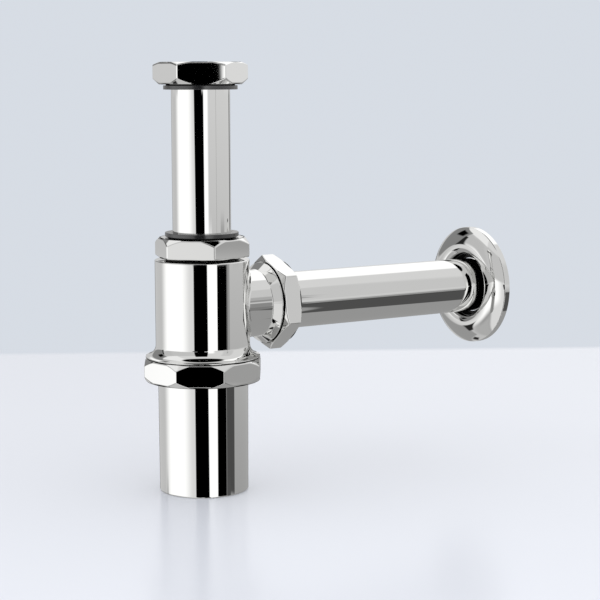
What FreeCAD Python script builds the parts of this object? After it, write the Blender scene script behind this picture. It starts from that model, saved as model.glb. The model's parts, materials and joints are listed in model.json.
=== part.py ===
import FreeCAD, Part
import math
import os

import Sketcher

# Driving dimensions, in millimetres and degrees: name, value, what it sets.
SIZES = [
    ("tube_diameter", 32, "outside of the inlet and outlet tubes"),
    ("tube_wall", 0.8, "wall of both tubes"),
    ("running_gap", 0.05, "radial clearance where one piece slides or screws on another"),
    ("free_gap", 0.3, "clearance between pieces that pass each other without touching"),
    ("cup_height", 61.7, "cup that shows below its nut"),
    ("cup_base_diameter", 49.2, "cup outside at the base"),
    ("cup_rim_diameter", 49.8, "cup outside under its flange"),
    ("cup_wall", 2.0, "cup side wall"),
    ("cup_floor", 3.0, "cup bottom"),
    ("cup_base_edge", 0.6, "rounding of the cup's base edge"),
    ("cup_floor_fillet", 4.0, "rounding inside, from wall to floor"),
    ("cup_flange_width", 1.7, "flange beyond the cup's side"),
    ("cup_flange_thickness", 2.0, "flange of the cup"),
    ("cup_gasket_thickness", 2.0, "rubber between cup and body"),
    ("cup_nut_flats", 63.0, "cup nut across its flats"),
    ("cup_nut_height", 12.7, "cup nut from face to face"),
    ("cup_nut_lip", 2.2, "lip that lifts the cup's flange"),
    ("cup_nut_bevel", 52.0, "slope of the cup nut's bevels from its faces"),
    ("cup_nut_turn", 34.7, "direction of one corner of the cup nut"),
    ("cup_thread_diameter", 55.0, "thread that carries the cup nut"),
    ("body_diameter", 52.0, "barrel of the body"),
    ("body_wall", 2.2, "wall of the barrel"),
    ("body_roof", 2.6, "wall between barrel and neck"),
    ("body_length", 53.8, "skirt rim to shoulder"),
    ("body_edge", 0.5, "broken edge of the shoulder"),
    ("skirt_overhang", 5.6, "skirt rim beyond the barrel"),
    ("skirt_radius", 6.5, "hollow curve from barrel to skirt rim"),
    ("outlet_above_skirt", 27.0, "skirt rim to the outlet's axis"),
    ("gland_thread_diameter", 41.9, "thread of the neck, the branch and the inlet nut"),
    ("gland_bore_gap", 0.4, "radial room for a tube in the neck and the branch"),
    ("gland_seat_width", 2.5, "radial width of the conical seat for a seal"),
    ("gland_seat_slope", 30.0, "slope of the seat from the tube's axis"),
    ("gland_stand_off", 1.25, "shoulder to body nut"),
    ("branch_diameter", 37.6, "side branch of the body"),
    ("branch_reach", 38.7, "vertical axis to the branch's collar face"),
    ("collar_overhang", 3.8, "branch collar beyond the branch"),
    ("collar_length", 3.9, "cone from branch to collar"),
    ("collar_edge", 0.7, "rim of the branch collar"),
    ("saddle_radius", 3.0, "fillet between barrel and branch"),
    ("collar_stand_off", 0.6, "branch collar to outlet nut"),
    ("inlet_nut_flats", 45.0, "inlet nut across its flats"),
    ("inlet_nut_height", 12.0, "inlet nut from face to face"),
    ("inlet_nut_turn", 31.8, "direction of one corner of the inlet nut"),
    ("body_nut_flats", 46.6, "body nut across its flats"),
    ("body_nut_height", 11.0, "body nut from face to face"),
    ("body_nut_turn", 15.3, "direction of one corner of the body nut"),
    ("outlet_nut_flats", 46.4, "outlet nut across its flats"),
    ("outlet_nut_height", 10.9, "outlet nut from face to face"),
    ("outlet_nut_turn", 51.5, "direction of one corner of the outlet nut"),
    ("nut_lip", 3.0, "lip of the three gland nuts"),
    ("inlet_nut_lip_bevel", 42.0, "slope of the bevel at the inlet nut's lip"),
    ("inlet_nut_mouth_bevel", 25.0, "slope of the bevel at the inlet nut's thread"),
    ("body_nut_lip_bevel", 43.0, "slope of the bevel at the body nut's lip"),
    ("body_nut_mouth_bevel", 8.0, "slope of the bevel at the body nut's thread"),
    ("outlet_nut_lip_bevel", 25.0, "slope of the bevel at the outlet nut's lip"),
    ("outlet_nut_mouth_bevel", 25.0, "slope of the bevel at the outlet nut's thread"),
    ("nut_mouth_edge", 0.8, "broken edge of a nut's thread"),
    ("nut_relief", 0.4, "depth of the groove past a nut's thread"),
    ("washer_thickness", 0.8, "slip washers"),
    ("seal_thickness", 2.6, "rubber that a nut presses"),
    ("seal_nose", 3.0, "cone of a seal inside its seat"),
    ("seal_gap", 0.2, "room round the cone before it is pressed"),
    ("ring_diameter", 40.4, "flange of the dark gland rings"),
    ("ring_thickness", 2.2, "flange of a gland ring"),
    ("ring_edge", 0.5, "broken edge of that flange"),
    ("ring_step", 0.6, "foot that holds the flange off the nut"),
    ("ring_foot_width", 1.0, "foot beyond the ring's sleeve"),
    ("ring_sleeve", 1.8, "wall of the sleeve inside the nut's lip"),
    ("inlet_exposed", 77.4, "inlet tube that shows between its two rings"),
    ("dip_clearance", 23.0, "cup floor to the end of the inlet tube"),
    ("outlet_reach", 190.0, "vertical axis to the wall"),
    ("outlet_entry", 15.0, "outlet tube inside the branch"),
    ("wall_stub", 8.0, "outlet tube past the wall's face"),
    ("rosette_diameter", 70.0, "rosette outside"),
    ("rosette_height", 8.6, "wall to the rosette's crest"),
    ("rosette_band", 3.6, "straight rim of the rosette"),
    ("rosette_crest_diameter", 46.0, "circle of the crest"),
    ("rosette_throat_diameter", 36.8, "opening inside the crest"),
    ("rosette_lip_depth", 1.9, "wall to the front of the lip that rides on the tube"),
    ("rosette_sheet", 0.7, "pressed sheet"),
]

HEX = 6
OCTAGON = 8

doc = FreeCAD.newDocument("bottle_trap")
sheet = doc.addObject("Spreadsheet::Sheet", "size")
for row, (alias, number, meaning) in enumerate(SIZES, 1):
    sheet.set(f"A{row}", meaning)
    sheet.set(f"B{row}", str(number))
    sheet.setAlias(f"B{row}", alias)
doc.recompute()

nodes = []


def value(expression):
    """The number that an expression over the sheet comes to."""
    return float(sheet.evalExpression(expression))


def arc_left(radius):
    """An edge that bends round a centre on its left."""
    return radius, 1


def arc_right(radius):
    """An edge that bends round a centre on its right."""
    return radius, -1


def arc_between(start, end, radius, side):
    """The short arc from start to end, and whether it runs against the clock."""
    half = (end - start) * 0.5
    across = FreeCAD.Vector(-half.y, half.x, 0).normalize() * side
    centre = start + half + across * math.sqrt(radius**2 - half.Length**2)
    angles = [math.atan2(point.y - centre.y, point.x - centre.x) for point in (start, end)]
    if side < 0:
        angles.reverse()
    circle = Part.Circle(centre, FreeCAD.Vector(0, 0, 1), radius)
    return Part.ArcOfCircle(circle, angles[0], angles[1])


def bind(sketch, constraint, expression):
    """Add a dimension to a sketch and tie it to the sheet."""
    index = sketch.addConstraint(constraint)
    sketch.setExpression(f"Constraints[{index}]", expression)


def outline(body, name, corners, lift=None):
    """A closed outline in the body's XZ plane, with every corner and radius tied to the sheet.

    A corner is two expressions, and a third item, where it has one, bends the edge that leaves it.
    """
    sketch = body.newObject("Sketcher::SketchObject", name)
    plane = next(item for item in body.Origin.OriginFeatures if item.Role == "XZ_Plane")
    sketch.AttachmentSupport = (plane, [""])
    sketch.MapMode = "FlatFace"
    if lift:
        sketch.setExpression("AttachmentOffset.Base.y", lift)
    points = [FreeCAD.Vector(value(corner[0]), value(corner[1]), 0) for corner in corners]
    following = points[1:] + points[:1]
    ends = []
    for corner, start, end in zip(corners, points, following):
        if len(corner) == 3:
            radius, side = corner[2]
            edge = sketch.addGeometry(arc_between(start, end, value(radius), side))
            bind(sketch, Sketcher.Constraint("Radius", edge, value(radius)), radius)
            ends.append((edge, 1, 2) if side > 0 else (edge, 2, 1))
        else:
            edge = sketch.addGeometry(Part.LineSegment(start, end))
            ends.append((edge, 1, 2))
    for (edge, first, last), (after, after_first, after_last) in zip(ends, ends[1:] + ends[:1]):
        sketch.addConstraint(Sketcher.Constraint("Coincident", edge, last, after, after_first))
    for corner, point, (edge, first, last) in zip(corners, points, ends):
        for kind, axis, expression, length in (
            ("DistanceX", -2, corner[0], point.x),
            ("DistanceY", -1, corner[1], point.y),
        ):
            if expression == "0":
                sketch.addConstraint(Sketcher.Constraint("PointOnObject", edge, first, axis))
            else:
                bind(sketch, Sketcher.Constraint(kind, -1, 1, edge, first, length), expression)
    return sketch


def spin(body, kind, sketch, axis="V_Axis"):
    """Turn an outline through a full circle, to add a solid or to cut a groove."""
    feature = body.newObject(f"PartDesign::{kind}", f"{sketch.Name}_turn")
    feature.Profile = sketch
    feature.ReferenceAxis = (sketch, [axis])
    feature.Angle = 360
    return feature


def turned(name, corners):
    """A body turned about the vertical axis from one outline of radii and levels."""
    body = doc.addObject("PartDesign::Body", name)
    spin(body, "Revolution", outline(body, f"{name}_outline", corners))
    return body


def keep(node, name, along_outlet=False):
    """Label a finished piece, and lay it along the outlet if it belongs there."""
    node.Label = name
    if along_outlet:
        node.Placement = FreeCAD.Placement(FreeCAD.Vector(), FreeCAD.Rotation(FreeCAD.Vector(0, 1, 0), 90))
        node.setExpression("Placement.Base.z", OUTLET_HEIGHT)
    nodes.append(node)
    return node


def faceted(name, sides, flats, turn, bottom, height, corners):
    """A nut cut from a bar with flat sides, faced, bevelled and bored by a turned outline."""
    bar = doc.addObject("Part::Prism", f"{name}_bar")
    bar.Polygon = sides
    bar.setExpression("Circumradius", corner_radius(sides, flats))
    bar.setExpression("Height", height)
    bar.setExpression("Placement.Base.z", bottom)
    bar.setExpression("Placement.Rotation.Angle", f"{turn} * 1 deg")
    nut = doc.addObject("Part::Common", name)
    nut.Base = bar
    nut.Tool = turned(f"{name}_blank", corners)
    return nut


def corner_radius(sides, flats):
    """Radius of the corners of a bar with flat sides."""
    return f"({flats} / 2 / cos(180 deg / {sides}))"


def bevel_depth(sides, flats, slope):
    """How far a bevel that starts at the flats' circle has dropped where the blank ends."""
    return f"(({blank_radius(sides, flats)} - {flats} / 2) * tan({slope} * 1 deg))"


def blank_radius(sides, flats):
    """Radius of a nut's turned blank, clear of the bar's corners."""
    return f"({corner_radius(sides, flats)} + size.free_gap)"


TUBE = "(size.tube_diameter / 2)"
TUBE_FIT = f"({TUBE} + size.running_gap)"
TUBE_PASS = f"({TUBE} + size.free_gap)"
THREAD = "(size.gland_thread_diameter / 2)"
NUT_BORE = f"({THREAD} + size.running_gap)"
NUT_RELIEF = f"({NUT_BORE} + size.nut_relief)"
GLAND_BORE = f"({TUBE} + size.gland_bore_gap)"
SEAT_MOUTH = f"({GLAND_BORE} + size.gland_seat_width)"
SEAT_DEPTH = "(size.gland_seat_width / tan(size.gland_seat_slope * 1 deg))"
RING_SLEEVE = f"({TUBE_FIT} + size.ring_sleeve)"
RING_LIP_BORE = f"({RING_SLEEVE} + size.running_gap)"

# Levels up the vertical axis, from the base of the cup.
CUP_LIP_TOP = "(size.cup_height + size.cup_nut_lip)"
CUP_FLANGE_TOP = f"({CUP_LIP_TOP} + size.cup_flange_thickness)"
SPIGOT_BOTTOM = f"({CUP_FLANGE_TOP} + size.cup_gasket_thickness)"
CUP_NUT_TOP = "(size.cup_height + size.cup_nut_height)"
SKIRT_BOTTOM = f"({CUP_NUT_TOP} + size.free_gap)"
OUTLET_HEIGHT = f"({SKIRT_BOTTOM} + size.outlet_above_skirt)"
SHOULDER = f"({SKIRT_BOTTOM} + size.body_length)"
BODY_NUT_BOTTOM = f"({SHOULDER} + size.gland_stand_off)"
BODY_NUT_TOP = f"({BODY_NUT_BOTTOM} + size.body_nut_height)"
BODY_LIP = f"({BODY_NUT_TOP} - size.nut_lip)"
BODY_WASHER = f"({BODY_LIP} - size.washer_thickness)"
NECK_TOP = f"({BODY_WASHER} - size.seal_thickness)"
RING_STACK = "(size.ring_step + size.ring_thickness)"
INLET_NUT_BOTTOM = f"({BODY_NUT_TOP} + 2 * {RING_STACK} + size.inlet_exposed)"
INLET_NUT_TOP = f"({INLET_NUT_BOTTOM} + size.inlet_nut_height)"
INLET_LIP = f"({INLET_NUT_BOTTOM} + size.nut_lip)"
INLET_WASHER = f"({INLET_LIP} + size.washer_thickness)"
INLET_SEAL_TOP = f"({INLET_WASHER} + size.seal_thickness)"
INLET_THREAD_START = f"({INLET_SEAL_TOP} + size.free_gap)"
DIP_END = "(size.cup_floor + size.dip_clearance)"

# Distances along the outlet, from the vertical axis.
OUTLET_NUT_START = "(size.branch_reach + size.collar_stand_off)"
OUTLET_NUT_END = f"({OUTLET_NUT_START} + size.outlet_nut_height)"
OUTLET_LIP = f"({OUTLET_NUT_END} - size.nut_lip)"
OUTLET_WASHER = f"({OUTLET_LIP} - size.washer_thickness)"
BRANCH_END = f"({OUTLET_WASHER} - size.seal_thickness)"


def make_cup():
    base = "(size.cup_base_diameter / 2)"
    rim = "(size.cup_rim_diameter / 2)"
    flange = f"({rim} + size.cup_flange_width)"
    inner_base = f"({base} - size.cup_wall)"
    inner_rim = f"({rim} - size.cup_wall)"
    corners = [
        ("0", "0"),
        (f"{base} - size.cup_base_edge", "0", arc_left("size.cup_base_edge")),
        (base, "size.cup_base_edge"),
        (rim, CUP_LIP_TOP),
        (flange, CUP_LIP_TOP),
        (flange, CUP_FLANGE_TOP),
        (inner_rim, CUP_FLANGE_TOP),
        (inner_base, "size.cup_floor + size.cup_floor_fillet", arc_right("size.cup_floor_fillet")),
        (f"{inner_base} - size.cup_floor_fillet", "size.cup_floor"),
        ("0", "size.cup_floor"),
    ]
    keep(turned("cup", corners), "cup")


def make_cup_gasket():
    inner = "(size.cup_rim_diameter / 2 - size.cup_wall)"
    outer = "(size.cup_rim_diameter / 2 + size.cup_flange_width)"
    corners = [
        (inner, CUP_FLANGE_TOP),
        (outer, CUP_FLANGE_TOP),
        (outer, SPIGOT_BOTTOM),
        (inner, SPIGOT_BOTTOM),
    ]
    keep(turned("cup_gasket", corners), "cup_gasket")


def make_cup_nut():
    flats = "size.cup_nut_flats"
    bore = "(size.cup_thread_diameter / 2 + size.running_gap)"
    lip_bore = "(size.cup_rim_diameter / 2 + size.free_gap)"
    blank = blank_radius(OCTAGON, flats)
    depth = bevel_depth(OCTAGON, flats, "size.cup_nut_bevel")
    corners = [
        (lip_bore, "size.cup_height"),
        (f"{flats} / 2", "size.cup_height"),
        (blank, f"size.cup_height + {depth}"),
        (blank, f"{CUP_NUT_TOP} - {depth}"),
        (f"{flats} / 2", CUP_NUT_TOP),
        (bore, CUP_NUT_TOP),
        (bore, CUP_LIP_TOP),
        (lip_bore, CUP_LIP_TOP),
    ]
    nut = faceted(
        "cup_nut", OCTAGON, flats, "size.cup_nut_turn", "size.cup_height", "size.cup_nut_height", corners
    )
    keep(nut, "cup_nut")


def hollow_drop(radius, overhang):
    """Length along the axis of a hollow curve that leaves a wall smoothly and ends at an overhang."""
    return f"sqrt({radius}^2 - ({radius} - {overhang})^2)"


def edges_on_both_walls(shape):
    """Names of the edges where the branch meets the barrel."""
    barrel = value("size.body_diameter / 2")
    branch = value("size.branch_diameter / 2")
    height = value(OUTLET_HEIGHT)
    names = []
    for number, edge in enumerate(shape.Edges, 1):
        points = edge.discretize(5)
        on_barrel = all(math.isclose(math.hypot(p.x, p.y), barrel, abs_tol=1e-3) for p in points)
        on_branch = all(math.isclose(math.hypot(p.y, p.z - height), branch, abs_tol=1e-3) for p in points)
        if on_barrel and on_branch:
            names.append(f"Edge{number}")
    return names


def make_trap_body():
    barrel = "(size.body_diameter / 2)"
    spigot = "(size.cup_thread_diameter / 2)"
    skirt = f"({barrel} + size.skirt_overhang)"
    skirt_drop = hollow_drop("size.skirt_radius", "size.skirt_overhang")
    skirt_edge = f"({SKIRT_BOTTOM} + size.body_edge)"
    body = doc.addObject("PartDesign::Body", "trap_body")
    barrel_corners = [
        ("0", SPIGOT_BOTTOM),
        (spigot, SPIGOT_BOTTOM),
        (spigot, SKIRT_BOTTOM),
        (skirt, SKIRT_BOTTOM),
        (skirt, skirt_edge, arc_right("size.skirt_radius")),
        (barrel, f"{skirt_edge} + {skirt_drop}"),
        (barrel, f"{SHOULDER} - size.body_edge"),
        (f"{barrel} - size.body_edge", SHOULDER),
        (THREAD, SHOULDER),
        (THREAD, NECK_TOP),
        ("0", NECK_TOP),
    ]
    spin(body, "Revolution", outline(body, "barrel_outline", barrel_corners))
    branch = "(size.branch_diameter / 2)"
    collar = f"({branch} + size.collar_overhang)"
    collar_back = "(size.branch_reach - size.collar_edge)"
    branch_corners = [
        ("0", "0"),
        (BRANCH_END, "0"),
        (BRANCH_END, THREAD),
        ("size.branch_reach", THREAD),
        ("size.branch_reach", collar),
        (collar_back, collar),
        (f"{collar_back} - size.collar_length", branch),
        ("0", branch),
    ]
    spin(body, "Revolution", outline(body, "branch_outline", branch_corners, OUTLET_HEIGHT), "H_Axis")
    doc.recompute()
    saddle = body.newObject("PartDesign::Fillet", "saddle")
    saddle.Base = (body.Group[-2], edges_on_both_walls(body.Shape))
    saddle.setExpression("Radius", "size.saddle_radius")
    bore = f"({barrel} - size.body_wall)"
    roof = f"({SHOULDER} - size.body_roof)"
    barrel_bore_corners = [
        ("0", SPIGOT_BOTTOM),
        (bore, SPIGOT_BOTTOM),
        (bore, roof),
        (GLAND_BORE, roof),
        (GLAND_BORE, f"{NECK_TOP} - {SEAT_DEPTH}"),
        (SEAT_MOUTH, NECK_TOP),
        ("0", NECK_TOP),
    ]
    spin(body, "Groove", outline(body, "barrel_bore", barrel_bore_corners))
    branch_bore_corners = [
        ("0", "0"),
        (BRANCH_END, "0"),
        (BRANCH_END, SEAT_MOUTH),
        (f"{BRANCH_END} - {SEAT_DEPTH}", GLAND_BORE),
        ("0", GLAND_BORE),
    ]
    spin(body, "Groove", outline(body, "branch_bore", branch_bore_corners, OUTLET_HEIGHT), "H_Axis")
    keep(body, "trap_body")


def make_gland_nut(name, start, lip_bore, lip_at_end, thread_start, thread_end):
    """A six-sided nut with a lip at one end, and a relieved thread at the other."""
    flats = f"size.{name}_flats"
    height = f"size.{name}_height"
    end = f"({start} + {height})"
    blank = blank_radius(HEX, flats)
    lip_depth = bevel_depth(HEX, flats, f"size.{name}_lip_bevel")
    mouth_depth = bevel_depth(HEX, flats, f"size.{name}_mouth_bevel")
    lip, mouth, inward = (end, start, "-") if lip_at_end else (start, end, "+")
    outward = "+" if lip_at_end else "-"
    corners = [
        (lip_bore, lip),
        (f"{flats} / 2", lip),
        (blank, f"{lip} {inward} {lip_depth}"),
        (blank, f"{mouth} {outward} {mouth_depth}"),
        (f"{flats} / 2", mouth),
        (f"{NUT_BORE} + size.nut_mouth_edge", mouth),
        (NUT_BORE, f"{mouth} {outward} size.nut_mouth_edge"),
        (NUT_BORE, thread_start),
        (NUT_RELIEF, thread_start),
        (NUT_RELIEF, thread_end),
        (lip_bore, thread_end),
    ]
    return faceted(name, HEX, flats, f"size.{name}_turn", start, height, corners)


def make_gland_ring(name, nut_face, outward, sleeve_end):
    """A ring whose sleeve sits in a nut's lip and whose flange closes the mouth from outside."""
    foot = f"({RING_SLEEVE} + size.ring_foot_width)"
    flange = "(size.ring_diameter / 2)"
    step = f"({nut_face} {outward} size.ring_step)"
    outer = f"({nut_face} {outward} {RING_STACK})"
    inward = "-" if outward == "+" else "+"
    corners = [
        (TUBE_FIT, sleeve_end),
        (RING_SLEEVE, sleeve_end),
        (RING_SLEEVE, nut_face),
        (foot, nut_face),
        (foot, step),
        (flange, step),
        (flange, f"{outer} {inward} size.ring_edge"),
        (f"{flange} - size.ring_edge", outer),
        (TUBE_FIT, outer),
    ]
    keep(turned(name, corners), name)


def make_washer(name, start, thickness, along_outlet=False):
    """A flat ring round a tube, inside the groove of a nut."""
    end = f"({start} + {thickness})"
    outer = f"({NUT_BORE} - size.free_gap)"
    corners = [(TUBE_FIT, start), (outer, start), (outer, end), (TUBE_FIT, end)]
    keep(turned(name, corners), name, along_outlet)


def make_cone_seal(name, seat_end, along_outlet=False):
    """A rubber ring with a cone that goes into the seat below it."""
    nose_root = f"({SEAT_MOUTH} - size.seal_gap)"
    nose_tip = f"({nose_root} - size.seal_nose * tan(size.gland_seat_slope * 1 deg))"
    outer = f"({NUT_BORE} - size.free_gap)"
    end = f"({seat_end} + size.seal_thickness)"
    corners = [
        (TUBE_FIT, f"{seat_end} - size.seal_nose"),
        (nose_tip, f"{seat_end} - size.seal_nose"),
        (nose_root, seat_end),
        (outer, seat_end),
        (outer, end),
        (TUBE_FIT, end),
    ]
    keep(turned(name, corners), name, along_outlet)


def make_tube(name, start, end, along_outlet=False):
    """A plain thin-walled tube."""
    inner = f"({TUBE} - size.tube_wall)"
    corners = [(inner, start), (TUBE, start), (TUBE, end), (inner, end)]
    keep(turned(name, corners), name, along_outlet)


def make_body_gland():
    keep(make_gland_nut("body_nut", BODY_NUT_BOTTOM, RING_LIP_BORE, True, NECK_TOP, BODY_LIP), "body_nut")
    make_gland_ring("body_gland_ring", BODY_NUT_TOP, "+", BODY_LIP)
    make_washer("body_slip_washer", BODY_WASHER, "size.washer_thickness")
    make_cone_seal("body_seal", NECK_TOP)


def make_inlet():
    nut = make_gland_nut("inlet_nut", INLET_NUT_BOTTOM, RING_LIP_BORE, False, INLET_THREAD_START, INLET_LIP)
    keep(nut, "inlet_nut")
    make_gland_ring("inlet_gland_ring", INLET_NUT_BOTTOM, "-", INLET_LIP)
    make_washer("inlet_slip_washer", INLET_LIP, "size.washer_thickness")
    make_washer("inlet_seal", INLET_WASHER, "size.seal_thickness")
    make_tube("inlet_tube", DIP_END, INLET_SEAL_TOP)


def make_outlet():
    nut = make_gland_nut("outlet_nut", OUTLET_NUT_START, TUBE_PASS, True, BRANCH_END, OUTLET_LIP)
    keep(nut, "outlet_nut", True)
    make_washer("outlet_slip_washer", OUTLET_WASHER, "size.washer_thickness", True)
    make_cone_seal("outlet_seal", BRANCH_END, True)
    make_tube(
        "outlet_tube", f"({BRANCH_END} - size.outlet_entry)", "(size.outlet_reach + size.wall_stub)", True
    )


def make_wall_rosette():
    rim = "(size.rosette_diameter / 2)"
    crest = "(size.rosette_crest_diameter / 2)"
    wall = "size.outlet_reach"
    sheet_metal = "size.rosette_sheet"
    top = f"({wall} - size.rosette_height)"
    rise = "(size.rosette_height - size.rosette_band)"
    # The dome's arc is level at the crest and passes through the end of the straight rim.
    dome = f"((({rim} - {crest})^2 + {rise}^2) / (2 * {rise}))"
    dome_inside = f"({dome} - {sheet_metal})"
    dome_foot = f"({top} + {dome} - sqrt({dome_inside}^2 - ({rim} - {sheet_metal} - {crest})^2))"
    # From the crest a quarter circle curls in to the throat, and a lip at its foot rides on the tube.
    throat = "(size.rosette_throat_diameter / 2)"
    curl = f"({crest} - {throat})"
    curl_end = f"({top} + {curl})"
    lip_front = f"({wall} - size.rosette_lip_depth)"
    lip_back = f"({lip_front} + {sheet_metal})"
    corners = [
        (rim, wall),
        (rim, f"{wall} - size.rosette_band", arc_right(dome)),
        (crest, top, arc_right(curl)),
        (throat, curl_end),
        (throat, lip_front),
        (TUBE_PASS, lip_front),
        (TUBE_PASS, lip_back),
        (f"{throat} + {sheet_metal}", lip_back),
        (f"{throat} + {sheet_metal}", curl_end, arc_left(f"({curl} - {sheet_metal})")),
        (crest, f"{top} + {sheet_metal}", arc_left(dome_inside)),
        (f"{rim} - {sheet_metal}", dome_foot),
        (f"{rim} - {sheet_metal}", wall),
    ]
    keep(turned("wall_rosette", corners), "wall_rosette", True)


def write_parts():
    """Stop if anything failed, then write each piece to its own file."""
    doc.recompute()
    for item in doc.Objects:
        if "Invalid" in item.State or "Error" in item.State:
            raise RuntimeError(f"{item.Label} did not build: {item.State}")
    os.makedirs("parts", exist_ok=True)
    for node in nodes:
        shape = node.Shape
        if shape.isNull() or not shape.isValid() or len(shape.Solids) != 1:
            raise RuntimeError(f"{node.Label} is not one sound solid")
        shape.exportStep(f"parts/{node.Label}.step")
        print(f"{node.Label}: {shape.Volume / 1000:.2f} cm3")


make_cup()
make_cup_gasket()
make_cup_nut()
make_trap_body()
make_body_gland()
make_inlet()
make_outlet()
make_wall_rosette()
write_parts()
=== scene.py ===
# %% [markdown]
# # A chromed bottle trap, dressed for its portrait
# A bottle trap hangs under a wash basin. Water falls down the inlet tube into the cup, rises round
# the tube and leaves through the side branch, so the cup always holds a plug of water against smells.
# The solid model already has every piece at its real size. This lesson gives the pieces their finish:
# polished chrome is almost nothing but reflections, so most of the work is in smooth edges and light.

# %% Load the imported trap
import json
import math
from collections import namedtuple

import bmesh
import bpy
import numpy as np
from mathutils import Matrix, Vector


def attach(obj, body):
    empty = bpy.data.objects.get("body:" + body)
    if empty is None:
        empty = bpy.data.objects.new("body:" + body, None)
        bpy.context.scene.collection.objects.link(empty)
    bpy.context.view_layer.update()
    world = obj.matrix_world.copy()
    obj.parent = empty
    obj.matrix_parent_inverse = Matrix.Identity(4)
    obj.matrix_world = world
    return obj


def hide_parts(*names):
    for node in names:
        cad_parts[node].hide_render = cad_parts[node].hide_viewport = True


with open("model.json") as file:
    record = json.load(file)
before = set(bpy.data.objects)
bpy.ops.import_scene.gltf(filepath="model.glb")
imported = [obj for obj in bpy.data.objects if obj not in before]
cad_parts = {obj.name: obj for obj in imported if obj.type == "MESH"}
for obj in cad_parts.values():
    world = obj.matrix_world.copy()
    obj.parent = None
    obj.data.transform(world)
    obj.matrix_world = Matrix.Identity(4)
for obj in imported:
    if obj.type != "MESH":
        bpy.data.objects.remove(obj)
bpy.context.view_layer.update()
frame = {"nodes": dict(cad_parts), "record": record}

MM = 0.001

# %% [markdown]
# ## The camera
# A product portrait is taken from some distance with a long lens, which keeps upright edges upright.
# A camera can be aimed with a constraint, but writing its three axes as a matrix is exact: its own X
# points right, its Y up, and it looks along minus Z.

# %% Camera at the photograph's angle
CAMERA_PLACE = Vector((-456.18, -803.22, 228.05)) * MM
CAMERA_RIGHT = Vector((0.83921, -0.54381, -0.00214))
CAMERA_UP = Vector((0.073316, 0.109238, 0.991308))
LENS_MM = 101.29
SENSOR_MM = 36.0


def make_camera():
    """A camera set by its place and its axes."""
    camera_data = bpy.data.cameras.new("portrait_camera")
    camera_data.lens = LENS_MM
    camera_data.sensor_width = SENSOR_MM
    camera = bpy.data.objects.new("portrait_camera", camera_data)
    axes = Matrix((CAMERA_RIGHT, CAMERA_UP, CAMERA_RIGHT.cross(CAMERA_UP))).transposed()
    camera.matrix_world = Matrix.Translation(CAMERA_PLACE) @ axes.to_4x4()
    bpy.context.scene.collection.objects.link(camera)
    bpy.context.scene.camera = camera


make_camera()
print("camera stands", round(CAMERA_PLACE.length, 3), "m from the foot of the cup")

# %% [markdown]
# ## The studio
# Chrome shows the room, so the room is designed: large white screens, dark gaps between them, and
# grey elsewhere. Real screens would be planes with light on them. Painting them on the world's sky is
# simpler, because a direction is all that a far-off screen needs: how far round it stands, and how high.
# Each screen is a soft-edged patch in those two angles, laid over the ones before it. Only mirrors see
# the screens. Matt surfaces get an even white light, and the camera sees a plain wall.

# %% Node helpers
# A Mix node has sockets of the same name for each kind of value. These are the ones for colours.
MIX_FIRST = 6
MIX_SECOND = 7
MIX_RESULT = 2


def feed(tree, socket, source):
    """Link a socket to another node's output, or give it a plain value."""
    if isinstance(source, bpy.types.NodeSocket):
        tree.links.new(source, socket)
    else:
        socket.default_value = source


def add_node(tree, kind, sources=None, **settings):
    """A node with its properties set and its inputs fed, by name or by number."""
    node = tree.nodes.new(kind)
    for name, setting in settings.items():
        setattr(node, name, setting)
    for socket, source in (sources or {}).items():
        feed(tree, node.inputs[socket], source)
    return node


def math_node(tree, operation, *sources):
    """A Math node's result from links or numbers."""
    return add_node(tree, "ShaderNodeMath", dict(enumerate(sources)), operation=operation).outputs[0]


def reach_along(tree, vector, axis):
    """How far a vector reaches along an axis."""
    node = add_node(tree, "ShaderNodeVectorMath", {0: vector, 1: axis}, operation="DOT_PRODUCT")
    return node.outputs["Value"]


def ramp_up(tree, source, low, high):
    """A soft step from 0 to 1 between two values."""
    sources = {"Value": source, "From Min": low, "From Max": high}
    node = add_node(tree, "ShaderNodeMapRange", sources, interpolation_type="SMOOTHSTEP")
    return node.outputs["Result"]


def mix_colours(tree, share, first, second):
    """A colour part of the way from one to another."""
    sources = {"Factor": share, MIX_FIRST: first, MIX_SECOND: second}
    return add_node(tree, "ShaderNodeMix", sources, data_type="RGBA").outputs[MIX_RESULT]


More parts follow.
